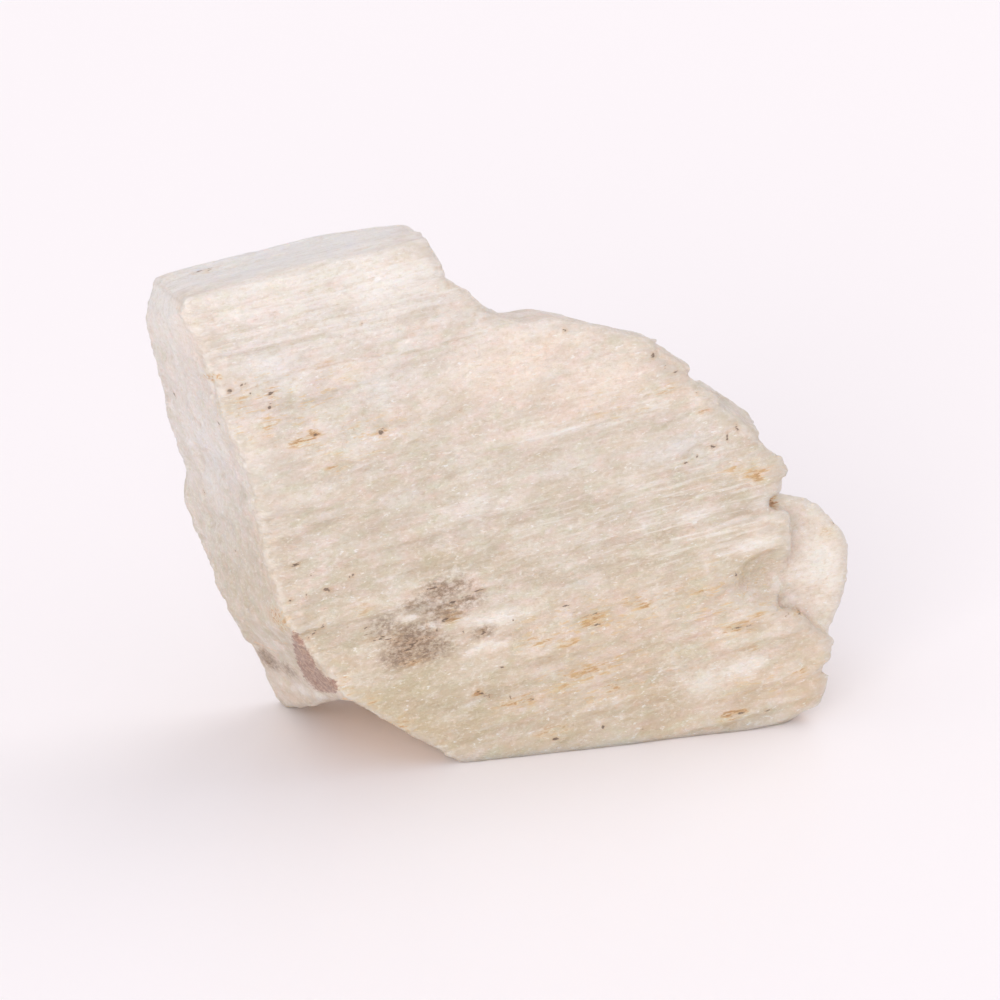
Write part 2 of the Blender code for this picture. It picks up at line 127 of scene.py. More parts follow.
# Black specks and short threads of the front: u, v, w of the middle, half length and half width
SPECKS = [
    (-11.5, -0.2, 21.8, 0.12, 0.10), (-10.6, -0.2, 22.0, 0.07, 0.07), (-9.4, -0.2, 21.2, 0.15, 0.11),
    (-9.6, -0.1, 20.5, 0.08, 0.07), (-4.3, -0.2, 18.0, 0.15, 0.13), (-4.2, 0.1, 23.5, 0.08, 0.06),
    (-0.2, -0.1, 18.1, 0.10, 0.07), (-9.8, 0.2, 12.5, 0.24, 0.09), (-8.5, 0.1, 10.9, 0.15, 0.12),
    (-10.5, 0.1, 10.8, 0.12, 0.10), (-9.1, -0.2, 9.2, 0.15, 0.12), (-9.9, 0.1, 8.7, 0.08, 0.08),
    (-7.1, 0.1, 11.3, 0.08, 0.08), (-7.0, 0.1, 8.5, 0.15, 0.08), (-1.2, -0.2, 6.9, 0.18, 0.12),
    (-0.6, -0.1, 4.9, 0.10, 0.07), (-2.0, 0.0, 4.0, 0.13, 0.10), (-1.4, 0.0, 3.6, 0.10, 0.08),
    (5.8, -0.3, 20.8, 0.10, 0.08), (10.0, -0.3, 18.5, 0.12, 0.12), (11.0, -0.2, 17.4, 0.12, 0.07),
    (11.9, -0.2, 16.1, 0.08, 0.07), (13.7, 0.1, 13.8, 0.10, 0.17), (12.2, 0.1, 13.1, 0.16, 0.13),
    (10.7, 0.1, 12.7, 0.08, 0.06), (3.1, -0.2, 7.2, 0.28, 0.06), (12.2, -0.2, 6.6, 0.07, 0.10),
    (15.1, 0.0, 3.8, 0.14, 0.12), (1.5, 0.1, 0.6, 0.13, 0.07), (4.0, 0.1, 0.6, 0.08, 0.08),
    (6.0, -0.1, -0.1, 0.10, 0.10), (0.6, -0.1, 3.0, 0.12, 0.10), (12.6, 0.3, -0.8, 0.13, 0.08),
    (10.9, 0.1, -0.5, 0.35, 0.06), (18.2, 1.3, 7.6, 0.12, 0.10), (-3.4, -0.1, 9.7, 0.32, 0.07),
    (-5.6, -0.1, 7.6, 0.25, 0.13), (-2.9, 0.0, 8.0, 0.20, 0.12), (-5.0, -0.1, 6.3, 0.40, 0.07),
    (-6.4, -0.1, 7.9, 0.50, 0.07), (-4.3, -0.1, 7.3, 0.40, 0.07), (-2.3, 0.0, 8.7, 0.30, 0.07),
    (-1.0, 0.0, 9.0, 0.25, 0.06), (-5.2, 0.0, 7.0, 0.20, 0.08), (11.9, -0.2, 3.9, 0.50, 0.05),
    (4.5, -0.3, 6.4, 0.35, 0.05), (4.6, -0.3, 5.9, 0.25, 0.06), (-7.7, -0.2, 18.7, 0.25, 0.07),
]
# Specks of the broken end and the top: u, v, w of the middle and half width
END_SPECKS = [
    (-10.4, 5.2, 26.8, 0.13), (-12.0, 1.1, 20.1, 0.10), (-13.0, 5.6, 21.1, 0.12), (-12.3, 6.1, 15.8, 0.10),
    (-12.7, 1.2, 18.6, 0.08), (-11.3, 4.0, 13.0, 0.08),
]

# Reddish-brown inclusion in the broken end, as a chain of beads seen from above the front: u, v, w and radius
SIGHT = math.radians(20.0)
INCLUSION = [
    (-10.7, -0.2, 9.4, 0.08), (-10.3, 0.8, 8.4, 0.28), (-9.9, 1.9, 7.3, 0.42), (-9.7, 2.0, 6.5, 0.46),
    (-9.3, 2.0, 5.9, 0.46), (-9.0, 1.0, 5.8, 0.34),
]


def grain_axes():
    """Directions of the grain: u along the laths, v from the front to the back, w up across the laths."""
    head, rise, lean = (math.radians(a) for a in (HEADING, RISE, LEAN))
    along = Vector((math.cos(head) * math.cos(rise), math.sin(head) * math.cos(rise), math.sin(rise)))
    upright = Vector((0.0, math.sin(lean), math.cos(lean)))
    front = along.cross(upright).normalized()
    return along, -front, front.cross(along)


AXES = grain_axes()


def put(tree, kind, given=(), **settings):
    """Adds a node with its settings. An input given a socket is linked to it, and one given a value takes it."""
    node = tree.nodes.new(kind)
    for name, value in settings.items():
        setattr(node, name, value)
    for key, value in dict(given).items():
        if isinstance(value, bpy.types.NodeSocket):
            tree.links.new(value, node.inputs[key])
        else:
            node.inputs[key].default_value = value
    return node


def calc(tree, operation, *values):
    """Result of a Math node."""
    return put(tree, "ShaderNodeMath", enumerate(values), operation=operation).outputs[0]


def vector(tree, operation, *values):
    """Result of a Vector Math node that gives a vector."""
    given = {("Scale" if operation == 'SCALE' and i == 1 else i): v for i, v in enumerate(values)}
    return put(tree, "ShaderNodeVectorMath", given, operation=operation).outputs["Vector"]


def dot(tree, one, other):
    """Dot product of two vectors."""
    return put(tree, "ShaderNodeVectorMath", {0: one, 1: other}, operation='DOT_PRODUCT').outputs["Value"]


def ramp(tree, value, low, high, start=0.0, end=1.0):
    """Value mapped smoothly from low..high to start..end."""
    given = {"Value": value, "From Min": low, "From Max": high, "To Min": start, "To Max": end}
    return put(tree, "ShaderNodeMapRange", given, interpolation_type='SMOOTHSTEP').outputs["Result"]


def mix(tree, share, one, other):
    """One colour with a share of the other mixed in."""
    return put(tree, "ShaderNodeMix", {"Factor": share, 6: one, 7: other}, data_type='RGBA').outputs[2]


def grain_place(tree, place):
    """Place in the grain's own axes, in millimetres."""
    offset = vector(tree, 'SUBTRACT', place, GRAIN_ORIGIN)
    parts = [dot(tree, offset, axis / MM) for axis in AXES]
    return put(tree, "ShaderNodeCombineXYZ", enumerate(parts)).outputs[0]


def stretched(tree, grain, length, pitch, seed=0.0):
    """Grain place divided by a length along the grain and a pitch across it."""
    along = calc(tree, 'DIVIDE', 1.0, length)
    across = calc(tree, 'DIVIDE', 1.0, pitch)
    scale = put(tree, "ShaderNodeCombineXYZ", {0: along, 1: across, 2: across}).outputs[0]
    shift = put(tree, "ShaderNodeCombineXYZ", {0: seed, 1: seed, 2: seed}).outputs[0]
    return vector(tree, 'ADD', vector(tree, 'MULTIPLY', grain, scale), shift)


def streaks(tree, grain, length, pitch, seed=0.0, detail=2.0, roughness=0.5):
    """Noise drawn out along the grain, from 0 to 1."""
    given = {"Vector": stretched(tree, grain, length, pitch, seed), "Scale": 1.0, "Detail": detail,
             "Roughness": roughness}
    return put(tree, "ShaderNodeTexNoise", given).outputs[0]


def cells(tree, grain, length, pitch, seed=0.0):
    """A random number for each long cell of the grain, and the distance from the cell's middle."""
    given = {"Vector": stretched(tree, grain, length, pitch, seed), "Scale": 1.0}
    node = put(tree, "ShaderNodeTexVoronoi", given)
    level = put(tree, "ShaderNodeSeparateColor" if tree.type == 'SHADER' else "FunctionNodeSeparateColor",
                {0: node.outputs["Color"]}).outputs[0]
    return level, node.outputs["Distance"]


def uneven(tree, grain, push):
    """Grain place moved a little at random, so that a pattern of cells gets uneven borders."""
    given = {"Vector": stretched(tree, grain, 0.9, 0.5, 53.0), "Scale": 1.0, "Detail": 2.0, "Roughness": 0.6}
    random = vector(tree, 'SUBTRACT', put(tree, "ShaderNodeTexNoise", given).outputs["Color"], (0.5, 0.5, 0.5))
    return vector(tree, 'ADD', grain, vector(tree, 'SCALE', random, push))


class GrainSettings(bpy.types.PropertyGroup):
    """Sizes of the crystal's fine relief."""
    striation_pitch: bpy.props.FloatProperty(
        name="Striation pitch", description="Distance between fine striations", default=0.36, min=0.1, max=2.0)
    striation_depth: bpy.props.FloatProperty(
        name="Striation depth", description="Height of the fine striations", default=0.04, min=0.0, max=0.5)
    ledge_length: bpy.props.FloatProperty(
        name="Ledge length", description="Length of a ledge along the grain", default=5.5, min=1.0, max=30.0)
    ledge_depth: bpy.props.FloatProperty(
        name="Ledge depth", description="Height of a cleavage ledge", default=0.07, min=0.0, max=1.0)
    break_depth: bpy.props.FloatProperty(
        name="Break depth", description="Height of the bumps on a broken end", default=0.10, min=0.0, max=2.0)
    chip_depth: bpy.props.FloatProperty(
        name="Chip depth", description="Depth of small chips", default=0.08, min=0.0, max=1.0)
    ragged_depth: bpy.props.FloatProperty(
        name="Ragged depth", description="Height of the small steps at the laths' ends", default=0.04, min=0.0, max=1.0)
    voxel: bpy.props.FloatProperty(
        name="Voxel", description="Finest distance between points across the grain", default=0.109, min=0.05, max=1.0)
    squeeze: bpy.props.FloatProperty(
        name="Squeeze", description="How much longer the points' distance is along the grain", default=4.0, min=1.0)
    rounding: bpy.props.IntProperty(
        name="Rounding", description="Passes that round the solid's edges", default=3, min=0, max=50)
    seed: bpy.props.FloatProperty(name="Seed", description="Shifts every random pattern", default=3.0)


class StoneColours(bpy.types.PropertyGroup):
    """Colours of the stone."""
    top: bpy.props.FloatVectorProperty(
        name="Top", description="Milky body colour at the top", subtype='COLOR', size=4, default=(0.80, 0.755, 0.705, 1.0))
    body: bpy.props.FloatVectorProperty(
        name="Body", description="Body colour half way up", subtype='COLOR', size=4, default=(0.68, 0.605, 0.49, 1.0))
    deep: bpy.props.FloatVectorProperty(
        name="Deep", description="Warmer body colour near the table", subtype='COLOR', size=4,
        default=(0.72, 0.585, 0.43, 1.0))
    pale: bpy.props.FloatVectorProperty(
        name="Pale", description="Whiter veils", subtype='COLOR', size=4, default=(0.97, 0.92, 0.86, 1.0))
    clear: bpy.props.FloatVectorProperty(
        name="Clear", description="Clearer, greener patches", subtype='COLOR', size=4, default=(0.66, 0.60, 0.46, 1.0))
    # Warm glow painted on the faces that look down, to warm the shadow under the stone
    underglow: bpy.props.FloatVectorProperty(
        name="Underglow", description="Glow-painted faces that look down", subtype='COLOR', size=4,
        default=(0.98, 0.62, 0.32, 1.0))
    rust: bpy.props.FloatVectorProperty(
        name="Rust", description="Iron stain", subtype='COLOR', size=4, default=(0.46, 0.23, 0.08, 1.0))
    smoke: bpy.props.FloatVectorProperty(
        name="Smoke", description="Dark cloud", subtype='COLOR', size=4, default=(0.26, 0.18, 0.12, 1.0))
    bronze: bpy.props.FloatVectorProperty(
        name="Bronze", description="Reddish-brown inclusion", subtype='COLOR', size=4,
        default=(0.33, 0.17, 0.13, 1.0))


def relief_tree():
    """Geometry Nodes tree that cuts striations, ledges, chips and bumpy ends into the skin."""
    tree = bpy.data.node_groups.new("crystal_relief", "GeometryNodeTree")
    face = tree.interface
    face.new_socket(name="Geometry", in_out='INPUT', socket_type='NodeSocketGeometry')
    face.new_socket(name="Geometry", in_out='OUTPUT', socket_type='NodeSocketGeometry')
    for name in ("Striation Pitch", "Striation Depth", "Ledge Length", "Ledge Depth", "Break Depth",
                 "Chip Depth", "Ragged Depth", "Seed"):
        face.new_socket(name=name, in_out='INPUT', socket_type='NodeSocketFloat')
    face.new_socket(name="Rounding", in_out='INPUT', socket_type='NodeSocketInt')
    face.new_socket(name="Material", in_out='INPUT', socket_type='NodeSocketMaterial')
    given = put(tree, "NodeGroupInput").outputs

    place = put(tree, "GeometryNodeInputPosition").outputs[0]
    normal = put(tree, "GeometryNodeInputNormal").outputs[0]
    worn = put(tree, "GeometryNodeBlurAttribute", {"Value": place, "Iterations": given["Rounding"]},
               data_type='FLOAT_VECTOR').outputs[0]
    rounded = put(tree, "GeometryNodeSetPosition", {"Geometry": given["Geometry"], "Position": worn}).outputs[0]
    grain = grain_place(tree, place)
    along, back, up = AXES
    facing = calc(tree, 'ABSOLUTE', dot(tree, normal, along))
    tip = ramp(tree, facing, 0.35, 0.75)
    side = calc(tree, 'SUBTRACT', 1.0, tip)
    seed = given["Seed"]

    def centred(value, depth):
        """Value from 0..1 moved to -depth..depth."""
        return calc(tree, 'MULTIPLY', calc(tree, 'SUBTRACT', value, 0.5), calc(tree, 'MULTIPLY', depth, 2.0))

    # Striations, strongest where the stone is silky, with flat ledges between them
    silk = put(tree, "GeometryNodeInputNamedAttribute", {"Name": "silk"}, data_type='FLOAT').outputs["Attribute"]
    pitch = given["Striation Pitch"]
    fine = centred(streaks(tree, grain, 5.0, pitch, seed, 2.0, 0.6), given["Striation Depth"])
    fine = calc(tree, 'MULTIPLY', fine, ramp(tree, silk, 0.0, 0.8, 0.15, 1.2))
    broad = centred(streaks(tree, grain, 6.0, calc(tree, 'MULTIPLY', pitch, 4.0), seed, 2.0, 0.5),
                    calc(tree, 'MULTIPLY', given["Striation Depth"], 2.2))
    broad = calc(tree, 'MULTIPLY', broad, ramp(tree, silk, 0.0, 0.8, 0.6, 1.0))
    step = calc(tree, 'ADD', seed, 5.0)
    ledge = centred(cells(tree, grain, given["Ledge Length"], 1.7, step)[0], given["Ledge Depth"])
    relief = calc(tree, 'ADD', calc(tree, 'ADD', fine, broad), ledge)
    relief = calc(tree, 'MULTIPLY', relief, side)

    # Round chips in the skin
    chance, distance = cells(tree, grain, 2.2, 1.3, calc(tree, 'ADD', seed, 11.0))
    dent = calc(tree, 'MULTIPLY', ramp(tree, distance, 0.0, 0.42, 1.0, 0.0), ramp(tree, chance, 0.86, 0.90))
    dent = calc(tree, 'MULTIPLY', dent, calc(tree, 'MULTIPLY', given["Chip Depth"], side))
    relief = calc(tree, 'SUBTRACT', relief, dent)

    # Broken ends: shallow bumps that run across the fibres
    bumps = centred(streaks(tree, grain, 1.3, 0.8, calc(tree, 'ADD', seed, 17.0), 2.0, 0.55), given["Break Depth"])
    relief = calc(tree, 'ADD', relief, calc(tree, 'MULTIPLY', bumps, tip))
    offset = vector(tree, 'SCALE', normal, relief)

    # Small ragged steps where a lath ends
    ragged = centred(cells(tree, grain, 1.1, 0.45, calc(tree, 'ADD', seed, 29.0))[0], given["Ragged Depth"])
    offset = vector(tree, 'ADD', offset, vector(tree, 'SCALE', normal, ragged))

    # The flats that the stone rests on stay flat
    height = put(tree, "ShaderNodeSeparateXYZ", {0: place}).outputs[2]
    clear = ramp(tree, height, 0.05 * MM, 0.5 * MM)
    offset = vector(tree, 'SCALE', offset, calc(tree, 'MULTIPLY', clear, MM))
    moved = put(tree, "GeometryNodeSetPosition", {"Geometry": rounded, "Offset": offset})
    after = put(tree, "ShaderNodeSeparateXYZ", {0: put(tree, "GeometryNodeInputPosition").outputs[0]}).outputs
    floored = put(tree, "ShaderNodeCombineXYZ",
                  {0: after[0], 1: after[1], 2: calc(tree, 'MAXIMUM', after[2], 0.0)}).outputs[0]
    rested = put(tree, "GeometryNodeSetPosition", {"Geometry": moved.outputs[0], "Position": floored})

    # Crests and creases of the finished skin, for the material
    around = put(tree, "GeometryNodeBlurAttribute", {"Value": place, "Iterations": 2},
                 data_type='FLOAT_VECTOR').outputs[0]
    crest = dot(tree, vector(tree, 'SCALE', vector(tree, 'SUBTRACT', place, around), 1.0 / MM), normal)
    marked = put(tree, "GeometryNodeStoreNamedAttribute",
                 {"Geometry": rested.outputs[0], "Name": "crest", "Value": crest}, data_type='FLOAT', domain='POINT')
    wide = put(tree, "GeometryNodeBlurAttribute", {"Value": place, "Iterations": 16},
               data_type='FLOAT_VECTOR').outputs[0]
    edge = dot(tree, vector(tree, 'SCALE', vector(tree, 'SUBTRACT', place, wide), 1.0 / MM), normal)
    marked = put(tree, "GeometryNodeStoreNamedAttribute",
                 {"Geometry": marked.outputs[0], "Name": "edge", "Value": edge}, data_type='FLOAT', domain='POINT')
    whole = put(tree, "GeometryNodeRealizeInstances", {"Geometry": marked.outputs[0]})
    dressed = put(tree, "GeometryNodeSetMaterial",
                  {"Geometry": whole.outputs[0], "Material": given["Material"]})
    put(tree, "NodeGroupOutput", {"Geometry": dressed.outputs[0]})
    return tree


def veil_tree():
    """Geometry Nodes tree that stores the body colour of each point: a slow change in height, veils and patches."""
    tree = bpy.data.node_groups.new("crystal_veils", "GeometryNodeTree")
    face = tree.interface
    face.new_socket(name="Geometry", in_out='INPUT', socket_type='NodeSocketGeometry')
    face.new_socket(name="Geometry", in_out='OUTPUT', socket_type='NodeSocketGeometry')
    for name in ("Top", "Body", "Deep", "Pale", "Clear", "Underglow"):
        face.new_socket(name=name, in_out='INPUT', socket_type='NodeSocketColor')
    face.new_socket(name="Material", in_out='INPUT', socket_type='NodeSocketMaterial')
    given = put(tree, "NodeGroupInput").outputs
    grain = grain_place(tree, put(tree, "GeometryNodeInputPosition").outputs[0])
    height = put(tree, "ShaderNodeSeparateXYZ", {0: grain}).outputs[2]
    facing = put(tree, "ShaderNodeSeparateXYZ", {0: put(tree, "GeometryNodeInputNormal").outputs[0]}).outputs[2]

    def layer(colour, share, tint):
        """Colour with a share of the tint mixed in."""
        return mix(tree, share, colour, tint)

    # Darker and warmer towards the table: partly the stone's warmer tone, partly painted shade on the lower part
    colour = layer(given["Deep"], ramp(tree, height, -1.0, 12.0), given["Body"])
    colour = layer(colour, ramp(tree, height, 12.0, 25.0), given["Top"])
    veil = ramp(tree, streaks(tree, grain, 2.8, 1.9, 2.0, 4.0, 0.6), 0.42, 0.66, 0.0, 0.34)
    colour = layer(colour, veil, given["Pale"])
    clear = ramp(tree, streaks(tree, grain, 2.0, 1.3, 31.0, 4.0, 0.6), 0.50, 0.70, 0.0, 0.32)
    colour = layer(colour, clear, given["Clear"])
    drift = streaks(tree, grain, 2.4, 1.5, 43.0, 3.0, 0.6)
    colour = layer(colour, ramp(tree, drift, 0.52, 0.68, 0.0, 0.28), (0.76, 0.77, 0.68, 1.0))
    colour = layer(colour, ramp(tree, drift, 0.48, 0.32, 0.0, 0.24), (0.95, 0.76, 0.62, 1.0))
    hue = streaks(tree, grain, 0.75, 0.5, 67.0, 3.0, 0.6)
    colour = layer(colour, ramp(tree, hue, 0.50, 0.66, 0.0, 0.42), (0.68, 0.70, 0.52, 1.0))
    colour = layer(colour, ramp(tree, hue, 0.50, 0.34, 0.0, 0.42), (0.90, 0.72, 0.68, 1.0))
    flake = cells(tree, uneven(tree, grain, 0.35), 1.7, 0.8)[0]
    colour = layer(colour, ramp(tree, flake, 0.60, 0.95, 0.0, 0.22), (1.0, 0.98, 0.95, 1.0))
    colour = layer(colour, ramp(tree, flake, 0.40, 0.05, 0.0, 0.22), (0.58, 0.49, 0.37, 1.0))
    patch = ramp(tree, streaks(tree, grain, 1.6, 0.8, 5.0, 4.0, 0.65), 0.35, 0.6, 0.35, 1.0)
    for name, tint, share in (("peach", (1.0, 0.86, 0.76, 1.0), 0.75), ("blue", (0.93, 0.93, 0.94, 1.0), 0.7),
                              ("olive", (0.60, 0.52, 0.34, 1.0), 0.65), ("chalk", (1.0, 0.97, 0.93, 1.0), 0.75)):
        field = put(tree, "GeometryNodeInputNamedAttribute", {"Name": name}, data_type='FLOAT').outputs["Attribute"]
        field = calc(tree, 'MINIMUM', calc(tree, 'MULTIPLY', field, patch), 1.0)
        colour = layer(colour, calc(tree, 'MULTIPLY', field, share), tint)
    edge = put(tree, "GeometryNodeInputNamedAttribute", {"Name": "edge"}, data_type='FLOAT').outputs["Attribute"]
    # Faces that look down, away from the long edges, get the warm painted glow
    painted_glow = calc(tree, 'MULTIPLY', ramp(tree, facing, -0.62, -0.85, 0.0, 0.95), ramp(tree, edge, 0.03, 0.005))
    colour = layer(colour, painted_glow, given["Underglow"])
    marked = put(tree, "GeometryNodeStoreNamedAttribute", {"Geometry": given["Geometry"], "Name": "body", "Value": colour},
                 data_type='FLOAT_COLOR', domain='POINT')
    whole = put(tree, "GeometryNodeRealizeInstances", {"Geometry": marked.outputs[0]})
    dressed = put(tree, "GeometryNodeSetMaterial", {"Geometry": whole.outputs[0], "Material": given["Material"]})
    put(tree, "NodeGroupOutput", {"Geometry": dressed.outputs[0]})
    return tree


def set_inputs(modifier, tree, values):
    """Sets a modifier's named inputs by their sockets' identifiers."""
    modifier.node_group = tree
    for item in tree.interface.items_tree:
        if item.item_type == 'SOCKET' and item.in_out == 'INPUT' and item.name in values:
            modifier[item.identifier] = values[item.name]


def baked(obj):
    """The object's evaluated mesh, with its modifiers removed."""
    graph = bpy.context.evaluated_depsgraph_get()
    mesh = bpy.data.meshes.new_from_object(obj.evaluated_get(graph))
    obj.modifiers.clear()
    old = obj.data
    obj.data = mesh
    bpy.data.meshes.remove(old)
    return obj


def to_grain(squeeze):
    """Matrix from the frame to the grain's axes in millimetres, pressed together along the grain."""
    turn = Matrix(AXES).to_4x4()
    return Matrix.Diagonal((1.0 / squeeze, 1.0, 1.0, 1.0)) @ Matrix.Scale(1.0 / MM, 4) @ turn @ \
        Matrix.Translation(-GRAIN_ORIGIN)


def skin(name, settings):
    """Closed skin of the solid with points that lie close across the grain and far apart along it."""
    bm = bmesh.new()
    bm.from_mesh(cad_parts[NODE].data)
    press = to_grain(settings.squeeze)
    bmesh.ops.transform(bm, matrix=press, verts=bm.verts)
    bmesh.ops.remove_doubles(bm, verts=bm.verts, dist=0.002)
    mesh = bpy.data.meshes.new(name)
    bm.to_mesh(mesh)
    bm.free()
    obj = bpy.data.objects.new(name, mesh)
    bpy.context.scene.collection.objects.link(obj)
    remesh = obj.modifiers.new("skin", 'REMESH')
    remesh.mode = 'VOXEL'
    remesh.voxel_size = settings.voxel
    baked(obj)
    obj.data.transform(press.inverted())
    return obj


def store(mesh, name, values):
    """Stores a number or a vector for each point."""
    flat = values.ndim == 1
    layer = mesh.attributes.new(name, 'FLOAT' if flat else 'FLOAT_VECTOR', 'POINT')
    layer.data.foreach_set("value" if flat else "vector", values.astype(np.float32).ravel())


def stain(grain, spots):
    """How strongly a stain colours each point."""
    level = np.zeros(len(grain))
    for u, v, w, length, width, strength in spots:
        depth = max(width, 1.0)
        far = ((grain[:, 0] - u) / length) ** 2 + ((grain[:, 1] - v) / depth) ** 2 + ((grain[:, 2] - w) / width) ** 2
        level = np.maximum(level, strength * np.exp(-0.7 * far))
    return level


def speck_place(grain):
    """Offset of each point from its nearest speck, in that speck's own radii."""
    front = [(u, v, w, length, 1.0, width) for u, v, w, length, width in SPECKS]
    ends = [(u, v, w, 0.5, width, width) for u, v, w, width in END_SPECKS]
    nearest = np.tile((0.0, 40.0, 0.0), (len(grain), 1))
    least = np.full(len(grain), 9.0)
    for speck in front + ends:
        offset = (grain - speck[:3]) / speck[3:]
        far = np.linalg.norm(offset, axis=1)
        closer = far < least
        nearest[closer] = offset[closer]
        least[closer] = far[closer]
    return nearest


def bead_distance(grain, beads):
    """Distance in millimetres from a chain of beads, less than zero inside. The beads run deep into the stone."""
    sight = np.array([axis.dot(Vector((0.0, -math.cos(SIGHT), math.sin(SIGHT)))) for axis in AXES])
    nearest = np.full(len(grain), 5.0)
    for first, second in zip(beads, beads[1:]):
        start = np.array(first[:3])
        step = np.array(second[:3]) - start
        step = step - (step @ sight) * sight
        offset = grain - start
        depth = offset @ sight
        offset = offset - depth[:, None] * sight
        share = np.clip(offset @ step / (step @ step), 0.0, 1.0)
        far = np.linalg.norm(offset - share[:, None] * step, axis=1) - first[3] - share * (second[3] - first[3])
        nearest = np.minimum(nearest, far + np.maximum(np.abs(depth) - 2.5, 0.0))
    return nearest


def lay_stains(mesh):
    """Stores every stain, speck and inclusion on the points."""
    points = np.empty(len(mesh.vertices) * 3, dtype=np.float32)
    mesh.vertices.foreach_get("co", points)
    grain = (points.reshape(-1, 3) - np.array(GRAIN_ORIGIN)) @ np.array(AXES).T / MM
    for name, spots in STAINS.items():
        store(mesh, name, stain(grain, spots))
    store(mesh, "speck", speck_place(grain))
    store(mesh, "inclusion", bead_distance(grain, INCLUSION))


def attribute(tree, name, output="Fac"):
    """A stored value."""
    return put(tree, "ShaderNodeAttribute", attribute_name=name).outputs[output]


